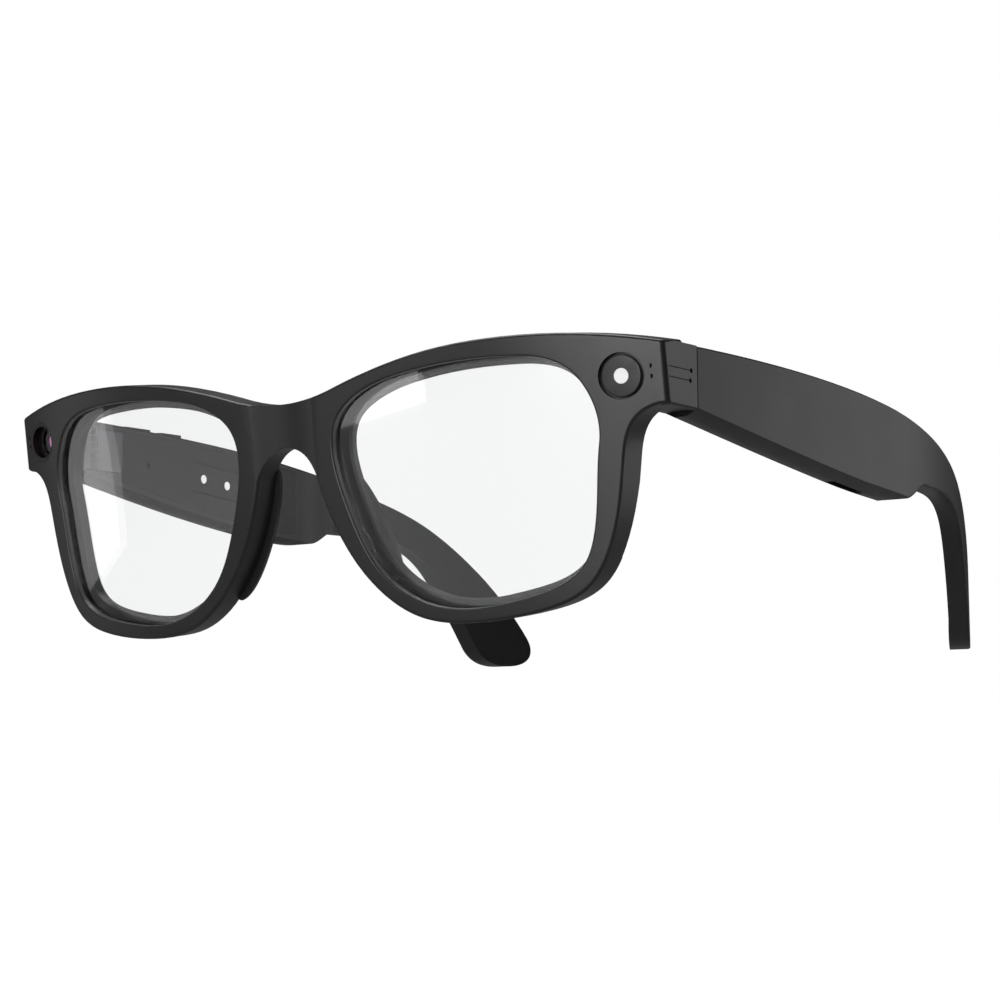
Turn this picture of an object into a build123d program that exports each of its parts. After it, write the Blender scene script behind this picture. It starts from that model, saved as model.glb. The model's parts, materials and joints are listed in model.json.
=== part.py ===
from build123d import *
from math import asin, cos, degrees, radians, sin, sqrt
import os

# Smart glasses standing open on a table, on the undersides of both rims and both temple ends.
# +X is the wearer's left, +Y runs back along the temples, +Z is up. All sizes are in millimetres.

# front
face_y = -76.75            # front face at the bridge
face_z = 23.9              # height of the lens centres
face_tilt = 8.4            # the front leans forward at the top by this many degrees
frame_depth = 5.6          # front to back of a rim
centre_radius = 380.0      # wrap of the front, gentle in the middle
side_radius = 141.0        # and tighter past the middle of each lens
blend_x = 36.0             # where the two radii meet
half_width = 72.2          # centre line to the side of an endpiece
wrap_end_x = 75.5          # the wrapped front is made this wide, then trimmed at its sides
saddle_radius = 28.6       # hollow across the bridge
saddle_depth = 1.0
edge_round = 0.6           # rounding of the front's outer edges
back_round = 0.5           # rounding of its back edges
corner_round = 1.2         # rounding of the upright corners at the sides
fit_gap = 0.05

# lenses
lens_front = 1.3           # depth of the lens's front face in the rim
lens_thickness = 2.0
groove_reach = 0.7         # how far the lens's edge goes into the rim
lip_reach = 1.3            # how far the rim's rear lip comes in over the lens
opening_round = 0.35       # rounding of the opening's front edge
lens_points = [
    (60.5, 3.4), (59.2, 12.3), (56.4, 16.1), (45.6, 19.2), (26.4, 18.4), (16.5, 15.6), (12.3, 12.3),
    (12.9, -3.6), (19.3, -15.6), (27.3, -20.6), (45.1, -20.9), (56.3, -15.9), (58.6, -10.1),
]                          # left lens opening, seen from the front, round from the outer side

# nose pads
nose_pad_x = 11.9
nose_pad_v = -6.6          # height above the lens centres, along the front
nose_pad_lean = 25         # degrees
nose_pad_depth = 0.3       # how far its root goes into the rim
nose_pad_splay = 0.3       # it moves outwards by this for each millimetre backwards
nose_pad_sections = (      # height behind the rim, half thickness, half length
    (0, 3.4, 13.0), (1.8, 3.1, 12.2), (3.2, 2.1, 10.0), (3.9, 0.9, 6.6),
)

# endpieces
endpiece_bottom = 34.1
endpiece_start_y = 9.5
endpiece_top = ((9.5, 44.41), (11.2, 44.66), (18.0, 44.8))   # y, z along its top, up to the temple's top
camera_room_x = 59.9       # inner side of the thick part behind each window
camera_room_y = 13.4

# round windows in the endpieces
window_x = 65.2
window_v = 14.0            # height above the lens centres, along the front
window_turn = 10.0         # windows face outwards by this many degrees
window_radius = 3.85
indicator_radius = 3.45
diffuser_radius = 1.25
cap_round = 0.2
camera_opening_radius = 3.0
camera_window_radius = 3.35
camera_radius = 2.7
camera_lens_radius = 1.5

# temples
joint_y = 18.0             # joint between the endpiece and the temple
joint_gap = 0.25
swell_y = 84.0             # widest place of the temple
swell_x = 75.2
temple_front_radius = 727.5
temple_tip_radius = 160.0
temple_thickness = 6.4
tip_thickness = 4.2
body_end_y = 91.0          # where the deep part of the temple ends
tip_start_y = 101.0
temple_end_y = 160.0
temple_round = 0.5         # rounding along its top and round its tip
under_points = ((93.0, 24.6), (84.0, 25.3), (76.0, 25.8), (60.0, 27.4), (45.0, 29.3), (16.0, 33.6))   # y, z
outer_chamfer_size = (2.4, 1.2)   # across and up
inner_chamfer_size = (2.0, 0.9)
wall = 1.1                 # wall of the electronics bay
cover_thickness = 1.2
bay_start_y = 24.5
bay_end_y = 86.0

# hinges
pin_x = 64.6
pin_radius = 0.7
pin_gap = 0.03
barrel_radius = 1.7
barrel_gap = 0.15
barrel_bottom = 35.0
knuckle_height = 1.6
knuckle_gap = 0.1
knuckle_count = 5
hinge_face_x = 65.9        # inner face that the front leaf lies on
leaf_thickness = 0.9
leaf_back_x = 66.4
front_leaf_y = 13.9
temple_leaf_y = 27.5

# accent studs
stud_radius = 0.42
stud_length = 1.2

# buttons on top of the right temple
button_proud = 0.7
button_width = 2.6
button_height = 2.6
button_gap = 0.12
button_places = {"front_button": (36.6, 8.2), "rear_button": (47.3, 7.0)}   # centre, length

top_z = 44.65              # top of the temple under the buttons
switch_drop = 3.7          # middle of a switch below that

# charging contacts and microphone in the right temple's cover
contact_radius = 0.9
contact_proud = 0.1
contact_places = ((55.4, 36.6), (63.1, 35.9))
microphone_place = (37.5, 37.5)
microphone_radius = 0.55

os.makedirs("parts", exist_ok=True)

tilt_cos = cos(radians(face_tilt))
tilt_sin = sin(radians(face_tilt))
face_origin = (0, face_y, face_z)
face = Plane(origin=face_origin, x_dir=(1, 0, 0), z_dir=(0, -tilt_cos, -tilt_sin))   # x, up the lens
plan = Plane(origin=face_origin, x_dir=(1, 0, 0), z_dir=(0, -tilt_sin, tilt_cos))    # x, depth
side = Plane(origin=(0, face_y, 0), x_dir=(0, 1, 0), z_dir=(1, 0, 0))                # y, z
floor = Plane(origin=(0, face_y, 0))                                                 # x, y

blend_angle = degrees(asin(blend_x / centre_radius))
side_centre_x = (centre_radius - side_radius) * sin(radians(blend_angle))
side_centre_depth = centre_radius - (centre_radius - side_radius) * cos(radians(blend_angle))
corner_angle = degrees(asin((wrap_end_x - side_centre_x) / side_radius))
barrel_height = knuckle_count * knuckle_height


def save(name, piece):
    """Label a finished piece and write it."""
    piece.part.label = name
    export_step(piece.part, f"parts/{name}.step")


def save_mirrored(name, piece):
    """Write the same piece on the other side of the centre line."""
    with BuildPart() as other:
        add(mirror(piece.part, about=Plane.YZ))
    save(name, other)


def angle_at(x):
    """Angle round the front's wrap at a distance from the centre line."""
    if x <= blend_x:
        return degrees(asin(x / centre_radius))
    return degrees(asin((x - side_centre_x) / side_radius))


def face_point(angle, depth):
    """Plan point on the wrapped front, at a depth behind its face."""
    turn = radians(angle)
    if angle <= blend_angle:
        radius = centre_radius - depth
        return (radius * sin(turn), centre_radius - radius * cos(turn))
    radius = side_radius - depth
    return (side_centre_x + radius * sin(turn), side_centre_depth - radius * cos(turn))


def wrap_band(front, back):
    """Plan profile of a layer of the front's left half, between two depths."""
    half_blend = blend_angle / 2
    middle = (blend_angle + corner_angle) / 2
    with BuildLine() as outline:
        start = face_point(0, front)
        near = ThreePointArc(start, face_point(half_blend, front), face_point(blend_angle, front))
        outer = ThreePointArc(near @ 1, face_point(middle, front), face_point(corner_angle, front))
        close = Line(outer @ 1, face_point(corner_angle, back))
        inner = ThreePointArc(close @ 1, face_point(middle, back), face_point(blend_angle, back))
        last = ThreePointArc(inner @ 1, face_point(half_blend, back), face_point(0, back))
        Line(last @ 1, near @ 0)
    make_face(outline.edges())


def lens_outline(grow=0.0):
    """Outline of the left lens opening, seen from the front, moved outwards by some distance."""
    moved = []
    for place, point in enumerate(lens_points):
        before = Vector(*lens_points[place - 1])
        after = Vector(*lens_points[(place + 1) % len(lens_points)])
        along = (after - before).normalized()
        moved.append((point[0] + grow * along.Y, point[1] - grow * along.X))
    with BuildLine() as outline:
        Spline(*moved, periodic=True)
    make_face(outline.edges())


def front_outline():
    """Outline of the front's left half: brow, endpiece, rim and bridge."""
    with BuildLine() as outline:
        bridge = Bezier((0, 15.5), (4.0, 15.5), (7.0, 16.0), (10.5, 17.0))
        brow = Spline(
            bridge @ 1, (20.0, 19.7), (31.0, 21.8), (44.0, 22.6), (58.0, 21.8), (half_width, 19.05)
        )
        end = Line(brow @ 1, (half_width, 8.8))
        under = Line(end @ 1, (70.6, 8.8))
        rim = Spline(
            under @ 1, (66.2, 6.2), (64.2, -0.5), (61.6, -12.0), (56.6, -20.0), (48.0, -23.3),
            (36.5, -24.4), (25.6, -23.0), (17.0, -17.4), (10.6, -8.6), (6.6, 2.2),
        )
        nose = Bezier(rim @ 1, rim @ 1 + (rim % 1) * 3.6, (3.0, 7.8), (0, 7.8))
        Line(nose @ 1, bridge @ 0)
    make_face(outline.edges())


def front_edges(piece):
    """Edges round the wrapped front face of the half frame, without the line where its radii meet."""
    skins = [
        skin for skin in piece.faces().filter_by(GeomType.CYLINDER)
        if min(abs(skin.radius - centre_radius), abs(skin.radius - side_radius)) < 0.01
    ]
    edges = [edge for skin in skins for edge in skin.edges()]
    return [edge for edge in edges if edge.geom_type != GeomType.LINE or edge.center().X > camera_room_x]


def brow_strip(width, end_x, end_v):
    """Strip that runs along the brow, from the bridge to behind the endpiece."""
    with BuildLine() as centre_line:
        Spline(
            (0, 12.4), (9.0, 14.3), (18.0, 17.2), (28.0, 19.2), (42.0, 20.2), (53.0, 19.3), (end_x, end_v)
        )
    trace(centre_line.edges(), line_width=width)


def layer(front, back, outline):
    """Left part of the front between two depths, inside an outline seen from the front."""
    with BuildPart() as piece:
        with BuildSketch(plan):
            wrap_band(front, back)
        extrude(amount=40, both=True)
        with BuildSketch(face):
            outline()
        extrude(amount=40, both=True, mode=Mode.INTERSECT)
    return piece


def on_front(angle, v, turn):
    """Plane on the front face that looks outwards by some degrees."""
    x, depth = face_point(angle, 0)
    back = (0, tilt_cos, tilt_sin)
    origin = (x, face_y + depth * tilt_cos - v * tilt_sin, face_z + depth * tilt_sin + v * tilt_cos)
    out, across = sin(radians(turn)), cos(radians(turn))
    return Plane(
        origin=origin,
        x_dir=(across, out * back[1], out * back[2]),
        z_dir=(out, -across * back[1], -across * back[2]),
    )


window = on_front(angle_at(window_x), window_v, window_turn)
stud_planes = [on_front(angle_at(69.8), v, 16.0) for v in (15.2, 13.5)]
for y, z in ((16.1, 40.4), (15.8, 38.7)):
    stud_planes.append(Plane(origin=(half_width, face_y + y, z), x_dir=(0, 1, 0), z_dir=(1, 0, 0)))


def disc(plane, radius, top, bottom, hole=0.0):
    """Disc or ring between two depths below a plane, cut or added by the caller."""
    with BuildSketch(plane.offset(-top)) as ring:
        Circle(radius)
        if hole:
            Circle(hole, mode=Mode.SUBTRACT)
    return extrude(ring.sketch, amount=top - bottom, mode=Mode.PRIVATE)


def pin_cylinder(radius, bottom, height, mode):
    """Cylinder about the left hinge's pin."""
    with BuildSketch(floor.offset(bottom)) as circle:
        with Locations((pin_x, joint_y)):
            Circle(radius)
    extrude(circle.sketch, amount=height, mode=mode)


def temple_x(y, inset):
    """Distance of a temple layer from the centre line."""
    radius = temple_front_radius if y <= swell_y else temple_tip_radius
    return swell_x - radius + sqrt((radius - inset) ** 2 - (y - swell_y) ** 2)


def button_solid(place, length, grow, top):
    """Round-ended button in the right temple's top wall, grown sideways for its hole."""
    x = -temple_x(place, temple_thickness / 2)
    lean = degrees(asin((place - swell_y) / temple_front_radius))
    centre = Plane(origin=(x, face_y + place, top_z + top), x_dir=(0, 1, 0), z_dir=(0, 0, 1))
    with BuildSketch(centre.rotated((0, 0, lean))) as outline:
        SlotOverall(length + 2 * grow, button_width + 2 * grow)
    return extrude(outline.sketch, amount=-(top + button_height), mode=Mode.PRIVATE)


# Front frame
lens_seat = layer(-8, lens_front + lens_thickness / 2, lens_outline)
lens_groove = layer(
    lens_front - fit_gap, lens_front + lens_thickness + fit_gap,
    lambda: lens_outline(groove_reach + fit_gap),
)
cable_groove = layer(frame_depth - 1.6, frame_depth + 1, lambda: brow_strip(2.2 + 2 * fit_gap, 59.7, 15.7))

with BuildPart() as half_frame:
    with BuildSketch(plan):
        wrap_band(0, frame_depth)
    extrude(amount=40, both=True)
    with BuildSketch(face):
        front_outline()
    extrude(amount=40, both=True, mode=Mode.INTERSECT)
    outer_edges = half_frame.edges().filter_by_position(Axis.X, half_width - 0.01, half_width + 0.01)
    uprights = outer_edges.filter_by(lambda edge: edge.length > 9)
    fillet(uprights.sort_by(Axis.Y)[0], corner_round)
    fillet(front_edges(half_frame), edge_round)
    with BuildSketch(side.offset(camera_room_x)):
        with BuildLine():
            Polyline(
                (endpiece_start_y, endpiece_bottom), *endpiece_top, (joint_y, endpiece_bottom), close=True
            )
        make_face()
    extrude(amount=half_width - camera_room_x)
    with BuildSketch(floor):
        with Locations(((camera_room_x + hinge_face_x) / 2, (camera_room_y + joint_y) / 2 + 1)):
            Rectangle(hinge_face_x - camera_room_x, joint_y - camera_room_y + 2)
    extrude(amount=60, mode=Mode.SUBTRACT)
    fillet(half_frame.edges().filter_by(lambda edge: edge.length > 20).sort_by(Axis.Z)[0], back_round)
    under_edges = half_frame.edges().filter_by_position(Axis.X, half_width - 0.01, half_width + 0.01)
    fillet(under_edges.sort_by(Axis.Z).filter_by(lambda edge: edge.length > 8)[0], back_round)
    with BuildSketch(face):
        lens_outline(-lip_reach)
    extrude(amount=12, both=True, mode=Mode.SUBTRACT)
    add(lens_seat.part, mode=Mode.SUBTRACT)
    opening_edges = half_frame.edges(Select.LAST)
    fillet([edge for edge in front_edges(half_frame) if edge in opening_edges], opening_round)
    for cutter in (lens_groove, cable_groove):
        add(cutter.part, mode=Mode.SUBTRACT)
    with BuildSketch(plan):
        with Locations((0, saddle_depth - saddle_radius)):
            Circle(saddle_radius)
    extrude(amount=40, both=True, mode=Mode.SUBTRACT)
    pin_cylinder(barrel_radius + barrel_gap, barrel_bottom - 0.2, barrel_height + 0.4, Mode.SUBTRACT)
    for stud_plane in stud_planes:
        with BuildSketch(stud_plane):
            Circle(stud_radius)
        extrude(amount=-stud_length, mode=Mode.SUBTRACT)

with BuildPart() as front_frame:
    add(half_frame.part)
    mirror(about=Plane.YZ)
    add(disc(window, window_radius, -2.0, 0.9), mode=Mode.SUBTRACT)
    add(disc(window, indicator_radius + fit_gap, 0.5, 4.4), mode=Mode.SUBTRACT)
    add(mirror(disc(window, window_radius, -2.0, 1.5), about=Plane.YZ), mode=Mode.SUBTRACT)
    add(mirror(disc(window, camera_window_radius + fit_gap, 1.0, 2.4), about=Plane.YZ), mode=Mode.SUBTRACT)
    add(mirror(disc(window, camera_radius + fit_gap, 2.0, 6.3), about=Plane.YZ), mode=Mode.SUBTRACT)
save("front_frame", front_frame)

lens = layer(lens_front, lens_front + lens_thickness, lambda: lens_outline(groove_reach))
save("left_lens", lens)
save_mirrored("right_lens", lens)

brow_flex = layer(frame_depth - 1.5, frame_depth - 1.1, lambda: brow_strip(1.8, 59.5, 15.9))
brow_cover = layer(frame_depth - 1.0, frame_depth, lambda: brow_strip(2.2, 59.5, 15.9))
for strip_name, strip in (("brow_flex", brow_flex), ("brow_cover", brow_cover)):
    with BuildPart() as whole_strip:
        add(strip.part)
        mirror(about=Plane.YZ)
    save(strip_name, whole_strip)


# Nose pads, bonded to the back of the rims
with BuildPart() as nose_pad:
    for height, half_thickness, half_length in nose_pad_sections:
        with BuildSketch(face.offset(-frame_depth + nose_pad_depth - height)):
            with Locations(Location((nose_pad_x + nose_pad_splay * height, nose_pad_v), nose_pad_lean)):
                Ellipse(half_thickness, half_length)
    loft()
    add(half_frame.part, mode=Mode.SUBTRACT)
save("left_nose_pad", nose_pad)
save_mirrored("right_nose_pad", nose_pad)

# Indicator in the left endpiece
with BuildPart() as indicator_cap:
    add(disc(window, indicator_radius, 0, 3.4, hole=diffuser_radius + fit_gap))
    rims = indicator_cap.edges().filter_by(GeomType.CIRCLE).group_by(SortBy.RADIUS)[-1]
    fillet(rims.sort_by(Axis.Y)[0], cap_round)
save("indicator_cap", indicator_cap)
with BuildPart() as indicator_diffuser:
    add(disc(window, diffuser_radius, 0.05, 3.4))
save("indicator_diffuser", indicator_diffuser)
with BuildPart() as indicator_board:
    add(disc(window, indicator_radius - 0.1, 3.5, 4.3))
save("indicator_board", indicator_board)

# Camera in the right endpiece, made on the left and mirrored
with BuildPart() as camera_ring:
    add(disc(window, window_radius - fit_gap, 0, 1.4, hole=camera_opening_radius))
with BuildPart() as camera_window:
    add(disc(window, camera_window_radius, 1.5, 2.3))
with BuildPart() as camera_barrel:
    add(disc(window, camera_radius, 2.45, 5.2, hole=camera_lens_radius + fit_gap))
with BuildPart() as camera_lens:
    add(disc(window, camera_lens_radius, 2.9, 4.6))
with BuildPart() as camera_sensor:
    add(disc(window, camera_radius - 0.1, 5.3, 6.1))
camera = {
    "camera_ring": camera_ring, "camera_window": camera_window, "camera_barrel": camera_barrel,
    "camera_lens": camera_lens, "camera_sensor": camera_sensor,
}
for piece_name, piece in camera.items():
    save_mirrored(piece_name, piece)

# Accent studs at the corners
with BuildPart() as studs:
    for stud_plane in stud_planes:
        with BuildSketch(stud_plane.offset(-0.1)):
            Circle(stud_radius - 0.02)
        extrude(amount=0.1 - stud_length)
save("left_accent_studs", studs)
save_mirrored("right_accent_studs", studs)


# Hinges
def leaf(first, start, end):
    """Hinge leaf: a plate along the inner wall, with every second knuckle."""
    with BuildPart() as piece:
        with BuildSketch(floor.offset(barrel_bottom)):
            with BuildLine():
                Polyline(
                    (hinge_face_x - leaf_thickness - fit_gap, start), (hinge_face_x - fit_gap, start),
                    (hinge_face_x - fit_gap, end), (hinge_face_x - leaf_thickness - fit_gap, end),
                    close=True,
                )
            make_face()
        extrude(amount=barrel_height)
        for level in range(1 - first, knuckle_count, 2):
            bottom = barrel_bottom + level * knuckle_height - knuckle_gap / 2
            pin_cylinder(barrel_radius + barrel_gap, bottom, knuckle_height + knuckle_gap, Mode.SUBTRACT)
        for level in range(first, knuckle_count, 2):
            bottom = barrel_bottom + level * knuckle_height + knuckle_gap / 2
            pin_cylinder(barrel_radius, bottom, knuckle_height - knuckle_gap, Mode.ADD)
        pin_cylinder(pin_radius + pin_gap, barrel_bottom - 1, barrel_height + 2, Mode.SUBTRACT)
    return piece


front_leaf = leaf(0, front_leaf_y, joint_y - 0.6)
temple_leaf = leaf(1, joint_y + 0.6, temple_leaf_y)
with BuildPart() as hinge_pin:
    pin_cylinder(pin_radius, barrel_bottom + fit_gap, barrel_height - 2 * fit_gap, Mode.ADD)
hinge = {"front_leaf": front_leaf, "temple_leaf": temple_leaf, "hinge_pin": hinge_pin}
for piece_name, piece in hinge.items():
    save(f"left_{piece_name}", piece)
    save_mirrored(f"right_{piece_name}", piece)


# Temples
def temple_arc(start, end, inset):
    """Plan arc of a temple layer, on one side of the widest place."""
    ends = [(temple_x(y, inset), y) for y in (start, (start + end) / 2, end)]
    return ThreePointArc(*ends)


def temple_band(outer, inner, start, end):
    """Plan profile of a layer of the temple's deep part."""
    with BuildLine() as outline:
        front = temple_arc(start, end, outer)
        back = temple_arc(end, start, inner)
        Line(front @ 1, back @ 0)
        Line(back @ 1, front @ 0)
    make_face(outline.edges())


def temple_plan():
    """Plan profile of the whole temple: thick in front, thin at the tip."""
    start = joint_y + joint_gap
    with BuildLine() as outline:
        outer = temple_arc(start, swell_y, 0)
        tip_outer = temple_arc(swell_y, temple_end_y, 0)
        end = Line(tip_outer @ 1, (temple_x(temple_end_y, tip_thickness), temple_end_y))
        tip_inner = temple_arc(temple_end_y, tip_start_y, tip_thickness)
        step = Line(tip_inner @ 1, (temple_x(body_end_y, temple_thickness), body_end_y))
        body_inner = temple_arc(body_end_y, swell_y, temple_thickness)
        inner = temple_arc(swell_y, start, temple_thickness)
        Line(inner @ 1, outer @ 0)
    make_face(outline.edges())


def temple_profile():
    """Side profile of the temple, with its turned down tip."""
    start = joint_y + joint_gap
    with BuildLine() as outline:
        top = Spline(
            (start, 44.8), (40.0, 44.7), (58.0, 44.2), (88.0, 41.9), (103.9, 39.4), (117.5, 36.2),
            (127.5, 32.4), (139.7, 24.3), (148.5, 15.5), (154.6, 6.8),
        )
        heel = Bezier(top @ 1, top @ 1 + (top % 1) * 4.0, (155.6, 0.0), (149.8, 0.0))
        toe = Bezier(heel @ 1, (145.6, 0.0), (143.1, 1.9), (141.7, 4.6))
        tip = Spline(
            toe @ 1, (139.2, 9.1), (133.4, 18.1), (128.4, 23.8), (121.0, 27.5), (110.0, 28.8),
            (tip_start_y, 28.9),
        )
        step = Bezier(tip @ 1, (98.0, 28.9), (95.0, 25.8), (body_end_y, 25.6))
        body = Spline(step @ 1, (84.0, 25.3), (76.0, 25.8), (60.0, 27.4), (45.0, 29.3), (start, 33.3))
        Line(body @ 1, top @ 0)
    make_face(outline.edges())


def bay_profile(inset):
    """Side profile of the electronics bay."""
    low, high = bay_start_y + inset, bay_end_y - inset
    with BuildLine() as outline:
        top = Spline((low, 43.6 - inset), (58.0, 43.0 - inset), (high, 41.0 - inset))
        end = Line(top @ 1, (high, 27.4 + inset))
        under = Spline(end @ 1, (76.0, 27.6 + inset), (60.0, 29.2 + inset), (low, 34.0 + inset))
        Line(under @ 1, top @ 0)
    make_face(outline.edges())


def temple_layer(outer, inner, outline):
    """Piece of the left temple between two insets from its outer face, inside a side profile."""
    with BuildPart() as piece:
        with BuildSketch(floor):
            temple_band(outer, inner, joint_y, swell_y)
            temple_band(outer, inner, swell_y, temple_end_y)
        extrude(amount=50)
        with BuildSketch(side):
            outline()
        extrude(amount=100, mode=Mode.INTERSECT)
    return piece


def box_profile(start, end, bottom, top):
    """Upright rectangle seen from the side, as a profile to cut a layer with."""
    def outline():
        with Locations(((start + end) / 2, (bottom + top) / 2)):
            Rectangle(end - start, top - bottom)
    return outline


def core_strip(width, start, end):
    """Strip down the middle of the temple's tip."""
    def outline():
        with BuildLine() as centre_line:
            Spline((start, 34.0), (112.0, 33.0), (126.0, 28.6), (137.0, 19.0), (end, 9.0))
        trace(centre_line.edges(), line_width=width)
    return outline


def under_chamfer(from_x, across, rise, inward):
    """Tool that takes off a lower edge of the temple by a slope that rises outwards or inwards."""
    slope = rise / across
    points = []
    for y, z in under_points:
        reach = temple_x(y, 0 if inward < 0 else temple_thickness) - from_x
        points.append((y, z + rise + inward * slope * reach))
    with BuildPart() as tool:
        with BuildSketch(side.offset(from_x)):
            with BuildLine():
                edge = Spline(*points)
                Polyline(edge @ 1, (points[-1][0], 10.0), (points[0][0], 10.0), edge @ 0)
            make_face()
        extrude(amount=20, dir=(1, 0, -inward * slope), both=True)
    return tool


outer_chamfer = under_chamfer(swell_x, *outer_chamfer_size, -1)
inner_chamfer = under_chamfer(swell_x - temple_thickness, *inner_chamfer_size, 1)

inner_face = temple_thickness
cover_inset = inner_face - cover_thickness
bay = temple_layer(wall, inner_face + 1, lambda: bay_profile(0.6))
cover_seat = temple_layer(cover_inset - fit_gap, inner_face + 1, lambda: bay_profile(-fit_gap))
core_room = temple_layer(1.35, 2.85, core_strip(3.1, 95.9, 143.1))
speaker_slot = temple_layer(2.5, 4.3, box_profile(66.0, 78.0, 20.0, 30.0))

with BuildPart() as temple_shell:
    with BuildSketch(floor):
        temple_plan()
    extrude(amount=50)
    with BuildSketch(side):
        temple_profile()
    extrude(amount=100, mode=Mode.INTERSECT)
    top_edges = temple_shell.edges().filter_by(lambda edge: edge.length > 60).sort_by(Axis.Z)[-2:]
    fillet(top_edges, temple_round)
    for tool in (outer_chamfer, inner_chamfer):
        add(tool.part, mode=Mode.SUBTRACT)
    pin_cylinder(barrel_radius + barrel_gap, barrel_bottom - 0.2, barrel_height + 0.4, Mode.SUBTRACT)
    with BuildSketch(floor.offset(barrel_bottom - fit_gap)):
        with BuildLine():
            Polyline(
                (hinge_face_x - 2, joint_y), (leaf_back_x, joint_y), (leaf_back_x, temple_leaf_y + fit_gap),
                (hinge_face_x - 2, temple_leaf_y + fit_gap), close=True,
            )
        make_face()
    extrude(amount=barrel_height + 2 * fit_gap, mode=Mode.SUBTRACT)
with BuildPart() as left_temple_shell:
    add(temple_shell.part)
    for room in (bay, cover_seat, core_room, speaker_slot):
        add(room.part, mode=Mode.SUBTRACT)
save("left_temple_shell", left_temple_shell)

with BuildPart() as right_temple_shell:
    add(mirror(left_temple_shell.part, about=Plane.YZ))
    for place, length in button_places.values():
        add(button_solid(place, length, button_gap, 4.0), mode=Mode.SUBTRACT)
save("right_temple_shell", right_temple_shell)

core = temple_layer(1.4, 2.8, core_strip(2.8, 96.2, 142.8))
speaker = temple_layer(wall + 0.3, cover_inset - 0.3, box_profile(71.5, 84.0, 29.0, 38.5))
mesh = temple_layer(2.5 + fit_gap, 4.3 - fit_gap, box_profile(66.0 + fit_gap, 78.0 - fit_gap, 27.3, 28.0))
flex = temple_layer(cover_inset - 0.5, cover_inset - 0.2, box_profile(25.6, 30.0, 36.0, 41.0))
fittings = {"tip_core": core, "speaker": speaker, "speaker_mesh": mesh, "temple_flex": flex}
for piece_name, piece in fittings.items():
    save(f"left_{piece_name}", piece)
    save_mirrored(f"right_{piece_name}", piece)

left_cover = temple_layer(cover_inset, inner_face, lambda: bay_profile(0))
save("left_temple_cover", left_cover)
battery = temple_layer(wall + 0.3, cover_inset - 0.3, box_profile(47.0, 70.5, 32.0, 41.0))
save("battery", battery)
charge_board = temple_layer(wall + 0.3, wall + 1.1, box_profile(26.5, 45.5, 34.8, 42.0))
save("charge_board", charge_board)
main_board = temple_layer(wall + 1.0, wall + 1.8, box_profile(26.5, 70.5, 34.8, 39.4))
save_mirrored("main_board", main_board)
touch_sensor = temple_layer(wall + 0.1, wall + 0.4, box_profile(28.0, 68.0, 34.8, 41.5))
save_mirrored("touch_sensor", touch_sensor)


def cover_plane(y, z):
    """Plane on the temple's inner face that looks inwards."""
    turn = asin((y - swell_y) / (temple_front_radius - inner_face))
    return Plane(
        origin=(temple_x(y, inner_face), face_y + y, z), x_dir=(-sin(turn), cos(turn), 0),
        z_dir=(-cos(turn), -sin(turn), 0),
    )


contact_planes = [cover_plane(y, z) for y, z in contact_places]
microphone_plane = cover_plane(*microphone_place)
with BuildPart() as right_cover:
    add(left_cover.part)
    for contact_plane in contact_planes:
        add(disc(contact_plane, contact_radius + fit_gap, -1, 3), mode=Mode.SUBTRACT)
    add(disc(microphone_plane, microphone_radius + fit_gap, -1, 3), mode=Mode.SUBTRACT)
save_mirrored("right_temple_cover", right_cover)
with BuildPart() as contacts:
    for contact_plane in contact_planes:
        add(disc(contact_plane, contact_radius, -contact_proud, cover_thickness + contact_proud))
save_mirrored("charging_contacts", contacts)
with BuildPart() as microphone_mesh:
    add(disc(microphone_plane, microphone_radius, 0.2, 0.5))
save_mirrored("microphone_mesh", microphone_mesh)

# Buttons on top of the right temple, and the switches under them
for button_name, (place, length) in button_places.items():
    with BuildPart() as button:
        add(button_solid(place, length, 0, button_proud))
    save(button_name, button)
with BuildPart() as switches:
    for place, length in button_places.values():
        x = -temple_x(place, temple_thickness / 2)
        with Locations((x, face_y + place, top_z - switch_drop)):
            Box(1.6, 3.4, 1.0)
save("button_switches", switches)
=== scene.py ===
import json
import math
import bpy
from mathutils import Matrix, Vector

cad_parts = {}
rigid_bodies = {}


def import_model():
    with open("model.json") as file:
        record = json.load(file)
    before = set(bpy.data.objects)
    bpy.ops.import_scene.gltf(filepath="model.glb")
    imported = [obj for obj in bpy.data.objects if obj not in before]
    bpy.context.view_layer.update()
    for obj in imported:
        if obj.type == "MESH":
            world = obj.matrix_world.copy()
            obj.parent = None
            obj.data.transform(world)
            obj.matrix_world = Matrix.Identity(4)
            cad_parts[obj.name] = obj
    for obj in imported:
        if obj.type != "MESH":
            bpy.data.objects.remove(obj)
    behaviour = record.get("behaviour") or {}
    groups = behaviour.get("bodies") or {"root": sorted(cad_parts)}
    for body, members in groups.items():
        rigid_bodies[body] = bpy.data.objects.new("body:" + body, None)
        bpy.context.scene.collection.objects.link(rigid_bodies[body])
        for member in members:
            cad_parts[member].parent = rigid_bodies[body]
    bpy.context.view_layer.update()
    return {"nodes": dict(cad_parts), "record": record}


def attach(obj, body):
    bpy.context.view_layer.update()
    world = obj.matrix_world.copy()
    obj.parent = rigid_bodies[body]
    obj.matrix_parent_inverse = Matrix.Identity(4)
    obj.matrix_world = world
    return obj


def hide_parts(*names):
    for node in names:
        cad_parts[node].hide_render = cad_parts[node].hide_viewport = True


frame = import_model()
cadNodes = frame["nodes"]
record = frame["record"]
mm = 0.001
print("frame loaded:", len(cadNodes), "nodes")

bodyOf = {node: body for body, members in record["behaviour"]["bodies"].items() for node in members}
slotOf = {part["node"]: part["material_slot"] for part in record["subparts"]}


def deselectAll():
    for item in bpy.context.scene.objects:
        item.select_set(False)


def makeActive(piece):
    deselectAll()
    piece.select_set(True)
    bpy.context.view_layer.objects.active = piece


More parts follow.
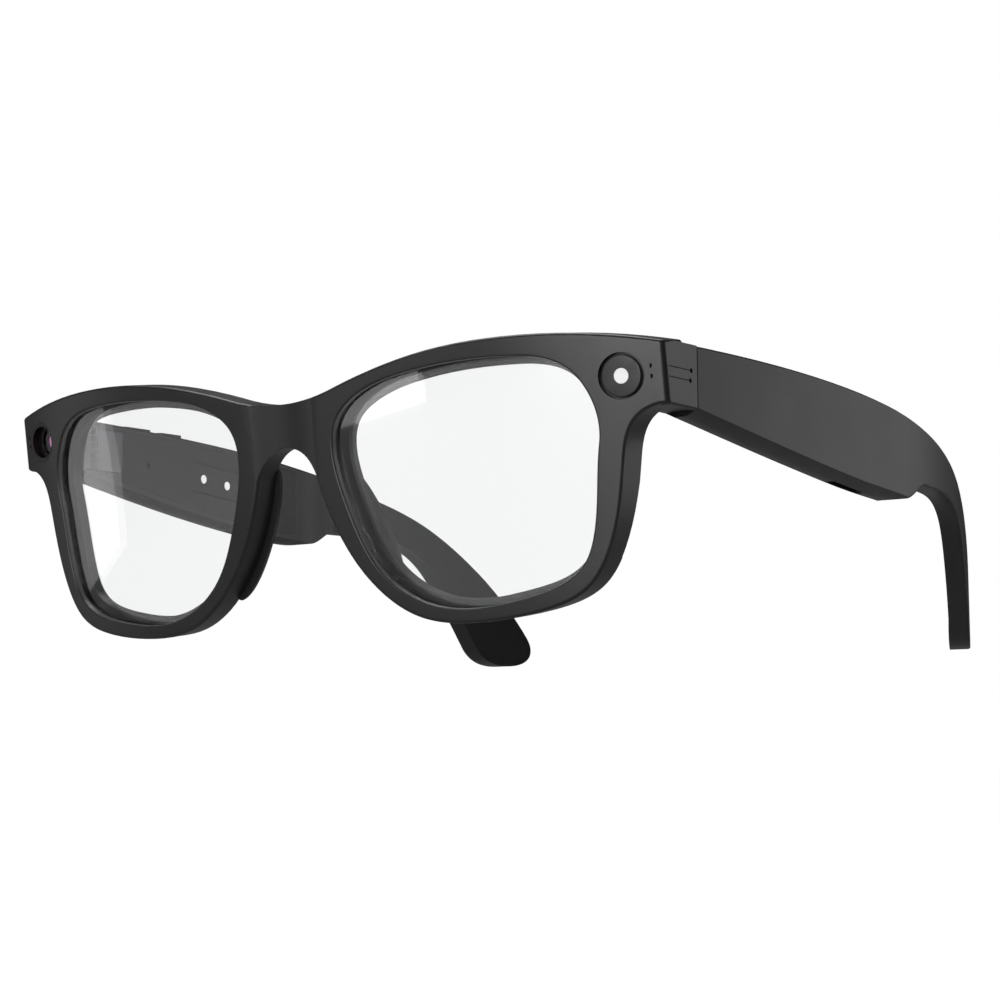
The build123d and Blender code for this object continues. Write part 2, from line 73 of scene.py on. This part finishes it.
def applyModifier(piece, kind, **settings):
    modifier = piece.modifiers.new(kind.lower(), kind)
    for name, value in settings.items():
        setattr(modifier, name, value)
    makeActive(piece)
    bpy.ops.object.modifier_apply(modifier=modifier.name)


def smoothEdges(piece, degrees):
    makeActive(piece)
    bpy.ops.object.shade_smooth_by_angle(angle=math.radians(degrees))


# every finish reads Object coordinates, so it stays on the piece at every pose
def newMaterial(name, values):
    material = bpy.data.materials.new(name)
    material.use_nodes = True
    shader = material.node_tree.nodes["Principled BSDF"]
    for socket, value in values.items():
        shader.inputs[socket].default_value = value
    return material, shader


def addNode(material, kind, **inputs):
    node = material.node_tree.nodes.new(kind)
    for name, value in inputs.items():
        node.inputs[name.replace("_", " ")].default_value = value
    return node


def join(material, output, socket):
    material.node_tree.links.new(output, socket)


def noiseOn(material, scale, detail=2.0):
    place = addNode(material, "ShaderNodeTexCoord")
    noise = addNode(material, "ShaderNodeTexNoise", Scale=scale, Detail=detail)
    join(material, place.outputs["Object"], noise.inputs["Vector"])
    return noise.outputs["Fac"]


def remap(material, value, low, high):
    node = addNode(material, "ShaderNodeMapRange", To_Min=low, To_Max=high)
    join(material, value, node.inputs["Value"])
    return node.outputs["Result"]


def mixColours(material, value, dark, light):
    ramp = material.node_tree.nodes.new("ShaderNodeValToRGB")
    ramp.color_ramp.elements[0].color = (*dark, 1)
    ramp.color_ramp.elements[1].color = (*light, 1)
    join(material, value, ramp.inputs["Fac"])
    return ramp.outputs["Color"]


def calculate(material, operation, *values):
    node = material.node_tree.nodes.new("ShaderNodeMath")
    node.operation = operation
    for socket, value in zip(node.inputs, values):
        if isinstance(value, (int, float)):
            socket.default_value = value
        else:
            join(material, value, socket)
    return node.outputs["Value"]


def lineMask(material, lines, width):
    # 1 along thin straight lines in a piece's YZ view, each from one place to another, and 0 elsewhere
    place = addNode(material, "ShaderNodeTexCoord")
    parts = addNode(material, "ShaderNodeSeparateXYZ")
    join(material, place.outputs["Object"], parts.inputs["Vector"])
    total = 0.0
    for (startY, startZ), (endY, endZ) in lines:
        slope = (endZ - startZ) / (endY - startY)
        height = (startZ - slope * startY) * mm
        middle, reach = (startY + endY) / 2 * mm, (endY - startY) / 2 * mm
        along = calculate(material, "MULTIPLY_ADD", parts.outputs["Y"], slope, height)
        inBand = calculate(material, "COMPARE", parts.outputs["Z"], along, width / 2 * mm)
        inLength = calculate(material, "COMPARE", parts.outputs["Y"], middle, reach)
        line = calculate(material, "MULTIPLY", inBand, inLength)
        total = calculate(material, "MAXIMUM", total, line)
    return total


# shine is the lowered specular level inside a groove, part of the painted shade in the grooves
engraving = {"width": 0.16, "depth": 0.08, "shine": 0.05}
shadeSpread = 0.15


def engraveLines(material, shader, lines, shade, surface):
    # fine grooves over the finish, each with painted shade: the groove is painted black and given less
    # shine, and the shade with the grooves in it
    groove = lineMask(material, lines, engraving["width"])
    bump = addNode(material, "ShaderNodeBump", Strength=1.0, Distance=engraving["depth"] * mm)
    bump.invert = True
    join(material, groove, bump.inputs["Height"])
    join(material, surface, bump.inputs["Normal"])
    join(material, bump.outputs["Normal"], shader.inputs["Normal"])
    plainShine = shader.inputs["Specular IOR Level"].default_value
    shine = remap(material, groove, plainShine, engraving["shine"])
    join(material, shine, shader.inputs["Specular IOR Level"])
    dimmed = material.node_tree.nodes.new("ShaderNodeMix")
    dimmed.data_type = "RGBA"
    plainColour, grooveShadeColour = [socket for socket in dimmed.inputs if socket.type == "RGBA"]
    # painted shade: each groove is painted black
    grooveShadeColour.default_value = (0, 0, 0, 1)
    join(material, groove, dimmed.inputs["Factor"])
    join(material, shade, plainColour)
    return [socket for socket in dimmed.outputs if socket.type == "RGBA"][0]


def mouldedFinish(name, look):
    # fine grain, with a slow change in gloss and shade from moulding and handling
    material, shader = newMaterial(name, {
        "Metallic": look["metal"], "Specular IOR Level": look["shine"], "Emission Strength": look["glow"],
    })
    bump = addNode(material, "ShaderNodeBump", Strength=look["strength"], Distance=look["depth"] * mm)
    join(material, noiseOn(material, look["grain"], 3.0), bump.inputs["Height"])
    join(material, bump.outputs["Normal"], shader.inputs["Normal"])
    slow = noiseOn(material, look["patch"])
    low, high = look["roughness"] * (1 - look["spread"]), look["roughness"] * (1 + look["spread"])
    join(material, remap(material, slow, low, high), shader.inputs["Roughness"])
    dark = [channel * (1 - shadeSpread) for channel in look["colour"]]
    light = [channel * (1 + shadeSpread) for channel in look["colour"]]
    shade = mixColours(material, slow, dark, light)
    if look["lines"]:
        shade = engraveLines(material, shader, look["lines"], shade, bump.outputs["Normal"])
    join(material, shade, shader.inputs["Base Color"])
    return material


plainLook = {
    "grain": 7000, "depth": 0.002, "strength": 0.1, "patch": 90, "spread": 0.1,
    "metal": 0, "shine": 0.5, "glow": 0, "lines": (),
}


def look(colour, roughness, **changes):
    return {**plainLook, "colour": colour, "roughness": roughness, **changes}


accentLines = (((-67.9, 40.3), (-60.65, 40.4)), ((-67.9, 38.6), (-60.95, 38.7)))
contactLines = (((-25.3, 39.9), (-9.5, 38.9)), ((-25.3, 33.9), (-9.5, 32.7)))
looks = {
    "frame": look((0.014, 0.014, 0.0145), 0.36, lines=accentLines),
    "nose_pad": look((0.012, 0.012, 0.0125), 0.42, depth=0.004),
    "temple": look((0.014, 0.014, 0.0145), 0.38),
    "cover": look((0.016, 0.016, 0.0165), 0.42, lines=contactLines),
    "button": look((0.015, 0.015, 0.0155), 0.32),
    "cap": look((0.02, 0.02, 0.021), 0.3),
    # painted light: the unlit diffuser emits a faint white to look brighter
    "diffuser": look((0.8, 0.81, 0.82), 0.45, glow=0.25),
    "ring": look((0.004, 0.004, 0.004), 0.3, depth=0.001, shine=0.2),
    "barrel": look((0.002, 0.002, 0.002), 0.6, shine=0.08),
    "stud": look((0.002, 0.002, 0.002), 0.6, depth=0.001, shine=0.05),
    "hinge": look((0.1, 0.1, 0.105), 0.3, grain=1500, depth=0.002, metal=1.0),
    "pin": look((0.45, 0.45, 0.46), 0.25, grain=1500, depth=0.002, metal=1.0),
    "contact": look((0.9, 0.89, 0.86), 0.22, grain=3000, depth=0.001, metal=1.0),
    "core": look((0.5, 0.5, 0.5), 0.35, metal=1.0),
    "speaker": look((0.03, 0.03, 0.03), 0.5),
    "mesh": look((0.05, 0.05, 0.05), 0.45, grain=9000, depth=0.02, strength=0.8, metal=0.8),
    "flex": look((0.42, 0.2, 0.04), 0.3),
    "board": look((0.015, 0.12, 0.06), 0.35),
    "battery": look((0.62, 0.62, 0.64), 0.35, metal=0.7),
    "switch": look((0.06, 0.06, 0.06), 0.4),
}


def clearLens():
    # hard resin with a hair of tint, and a faint unevenness in its polish
    material, shader = newMaterial("clearResin", {
        "Base Color": (0.93, 0.935, 0.94, 1), "Roughness": 0.0, "Transmission Weight": 1.0, "IOR": 1.03,
        "Coat Weight": 1.0,
    })
    join(material, remap(material, noiseOn(material, 40), 0.0, 0.03), shader.inputs["Coat Roughness"])
    return material


def windowGlass():
    # thin cover glass with a light polish
    material, shader = newMaterial("windowGlass", {
        "Base Color": (0.9, 0.88, 0.92, 1), "Roughness": 0.0, "Transmission Weight": 1.0, "IOR": 1.1,
        "Coat Weight": 0.3,
    })
    join(material, remap(material, noiseOn(material, 400), 0.0, 0.02), shader.inputs["Coat Roughness"])
    return material


def coatedGlass():
    # dark optical glass under an uneven purple coating, which also emits its purple colours as a painted
    # reflection
    material, shader = newMaterial("coatedGlass", {
        "Coat Weight": 1.0, "Coat Roughness": 0.03, "Emission Strength": 0.5,
    })
    swirl = noiseOn(material, 500)
    coatingAndReflectionColours = mixColours(material, swirl, (0.20, 0.05, 0.16), (0.50, 0.18, 0.36))
    join(material, coatingAndReflectionColours, shader.inputs["Base Color"])
    join(material, coatingAndReflectionColours, shader.inputs["Emission Color"])
    join(material, remap(material, swirl, 0.05, 0.09), shader.inputs["Roughness"])
    return material


finishes = {slot: mouldedFinish(slot.replace("_", "") + "Finish", values) for slot, values in looks.items()}
finishes["lens"] = clearLens()
finishes["camera_glass"] = coatedGlass()


def setFinish(piece, finish):
    piece.data.materials.clear()
    piece.data.materials.append(finish)


for nodeName, node in cadNodes.items():
    setFinish(node, finishes[slotOf[nodeName]])
setFinish(cadNodes["camera_window"], windowGlass())
print("finishes made:", len(finishes))


# merging distance and cut spacing in millimetres, and the angles in degrees past which an edge stays sharp
shaping = {"merge": 0.002, "angle": 30, "capAngle": 5, "lensCuts": ((2, 2.0), (0, 2.0))}


def sliceAcross(piece, axis, spacing):
    # breaks long thin triangles up, so that the shading runs evenly over a curved face
    corners = [Vector(corner)[axis] for corner in piece.bound_box]
    normal = [0, 0, 0]
    normal[axis] = 1
    steps = int((max(corners) - min(corners)) / (spacing * mm))
    for step in range(1, steps + 1):
        place = [0, 0, 0]
        place[axis] = min(corners) + step * spacing * mm
        bpy.ops.mesh.select_all(action="SELECT")
        bpy.ops.mesh.bisect(plane_co=place, plane_no=normal)


def pieceFrom(node, name, degrees, cuts):
    # a merged, smooth-shaded piece with the CAD node's shape
    piece = bpy.data.objects.new(name, cadNodes[node].data.copy())
    bpy.context.scene.collection.objects.link(piece)
    makeActive(piece)
    bpy.ops.object.mode_set(mode="EDIT")
    bpy.ops.mesh.select_all(action="SELECT")
    bpy.ops.mesh.remove_doubles(threshold=shaping["merge"] * mm)
    for axis, spacing in cuts:
        sliceAcross(piece, axis, spacing)
    bpy.ops.object.mode_set(mode="OBJECT")
    bpy.ops.mesh.customdata_custom_splitnormals_clear()
    smoothEdges(piece, degrees)
    applyModifier(piece, "WEIGHTED_NORMAL", mode="FACE_AREA", weight=100, thresh=0.01, keep_sharp=True)
    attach(piece, bodyOf[node])
    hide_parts(node)


smoothNodes = [
    "front_frame", "left_lens", "right_lens", "left_nose_pad", "right_nose_pad", "brow_cover",
    "indicator_cap", "indicator_diffuser", "camera_ring", "camera_window", "camera_barrel", "camera_lens",
    "left_temple_shell", "right_temple_shell", "left_temple_cover", "right_temple_cover",
    "charging_contacts", "front_button", "rear_button",
    "left_front_leaf", "right_front_leaf", "left_temple_leaf", "right_temple_leaf",
    "left_hinge_pin", "right_hinge_pin",
]
for nodeName in smoothNodes:
    first, *others = nodeName.split("_")
    pieceName = first + "".join(word.capitalize() for word in others) + "Piece"
    degrees = shaping["capAngle"] if slotOf[nodeName] == "cap" else shaping["angle"]
    cuts = shaping["lensCuts"] if slotOf[nodeName] == "lens" else ()
    pieceFrom(nodeName, pieceName, degrees, cuts)
print("pieces made:", len(smoothNodes))

cameraPlace = {
    "aim": Vector((-10.74, 4.26, 30.44)) * mm,
    "azimuth": math.radians(34.554),
    "elevation": math.radians(-6.295),
    "roll": math.radians(-0.498),
    "distance": 500 * mm,
    "lens": 88.216,
}


def addCamera():
    turn, rise = cameraPlace["azimuth"], cameraPlace["elevation"]
    back = Vector((math.sin(turn) * math.cos(rise), -math.cos(turn) * math.cos(rise), math.sin(rise)))
    level = Vector((math.cos(turn), math.sin(turn), 0))
    right = Matrix.Rotation(cameraPlace["roll"], 3, back) @ level
    up = back.cross(right)
    data = bpy.data.cameras.new("camera")
    data.lens = cameraPlace["lens"]
    data.sensor_width = 36
    data.clip_start, data.clip_end = 0.01, 100
    camera = bpy.data.objects.new("camera", data)
    turned = Matrix((right, up, back)).transposed().to_4x4()
    camera.matrix_world = Matrix.Translation(cameraPlace["aim"] + back * cameraPlace["distance"]) @ turned
    bpy.context.scene.collection.objects.link(camera)
    bpy.context.scene.camera = camera


addCamera()

# direction from the glasses, distance in metres, width and height, brightness of the panel's face
softboxes = {
    "frontPanel": ((0.24, -0.96, -0.12), 1.3, (1.0, 1.2), 6.0),
    "bridgeStrip": ((-0.50, -0.85, -0.13), 1.3, (0.22, 1.4), 2.6),
    "leftStrip": ((-0.92, -0.38, -0.05), 1.3, (0.3, 1.2), 1.3),
    "sidePanel": ((0.55, 0.83, 0.10), 1.3, (0.8, 1.0), 1.1),
    "topPanel": ((-0.25, 0.10, 0.96), 1.3, (1.4, 0.9), 4.0),
}
studio = {
    "centre": Vector((0, -0.04, 0.025)),
    "floorDrop": 0.09,
    "floorSize": 60,
    "floorShade": 0.2,
    "air": 0.02,
    "bounce": 0.06,
}


def addSoftbox(name, direction, distance, size, brightness):
    data = bpy.data.lights.new(name, "AREA")
    data.shape = "RECTANGLE"
    data.size, data.size_y = size
    data.energy = brightness * math.pi * size[0] * size[1]
    light = bpy.data.objects.new(name, data)
    light.location = studio["centre"] + Vector(direction).normalized() * distance
    light.rotation_mode = "QUATERNION"
    light.rotation_quaternion = Vector(direction).to_track_quat("Z", "Y")
    light.visible_camera = False
    bpy.context.scene.collection.objects.link(light)


for name, (direction, distance, size, brightness) in softboxes.items():
    addSoftbox(name, direction, distance, size, brightness)


def paintAir():
    # plain white behind the glasses and dim air for everything else
    world = bpy.data.worlds.new("studioAir")
    bpy.context.scene.world = world
    world.use_nodes = True
    tree = world.node_tree
    dim = tree.nodes["Background"]
    dim.inputs["Color"].default_value = (studio["air"],) * 3 + (1,)
    white = addNode(world, "ShaderNodeBackground", Color=(1, 1, 1, 1))
    ray = addNode(world, "ShaderNodeLightPath")
    mix = addNode(world, "ShaderNodeMixShader")
    straight = calculate(world, "MAXIMUM", ray.outputs["Is Camera Ray"], ray.outputs["Is Transmission Ray"])
    join(world, straight, mix.inputs["Fac"])
    join(world, dim.outputs["Background"], mix.inputs[1])
    join(world, white.outputs["Background"], mix.inputs[2])
    join(world, mix.outputs["Shader"], tree.nodes["World Output"].inputs["Surface"])


paintAir()


def addFloor():
    # plain white where it is seen, and a faint glow to everything else
    deselectAll()
    bpy.ops.mesh.primitive_plane_add(size=studio["floorSize"], location=(0, 0, -studio["floorDrop"]))
    floor = bpy.context.active_object
    floor.name = "floor"
    shade = (studio["floorShade"],) * 3 + (1,)
    paint, shader = newMaterial("floorPaint", {"Base Color": shade, "Roughness": 0.8})
    ray = addNode(paint, "ShaderNodeLightPath")
    straight = calculate(paint, "MAXIMUM", ray.outputs["Is Camera Ray"], ray.outputs["Is Transmission Ray"])
    join(paint, remap(paint, straight, studio["bounce"], 1.0), shader.inputs["Emission Strength"])
    floor.data.materials.append(paint)


addFloor()
bpy.context.scene.view_settings.view_transform = "Standard"
print("studio set")
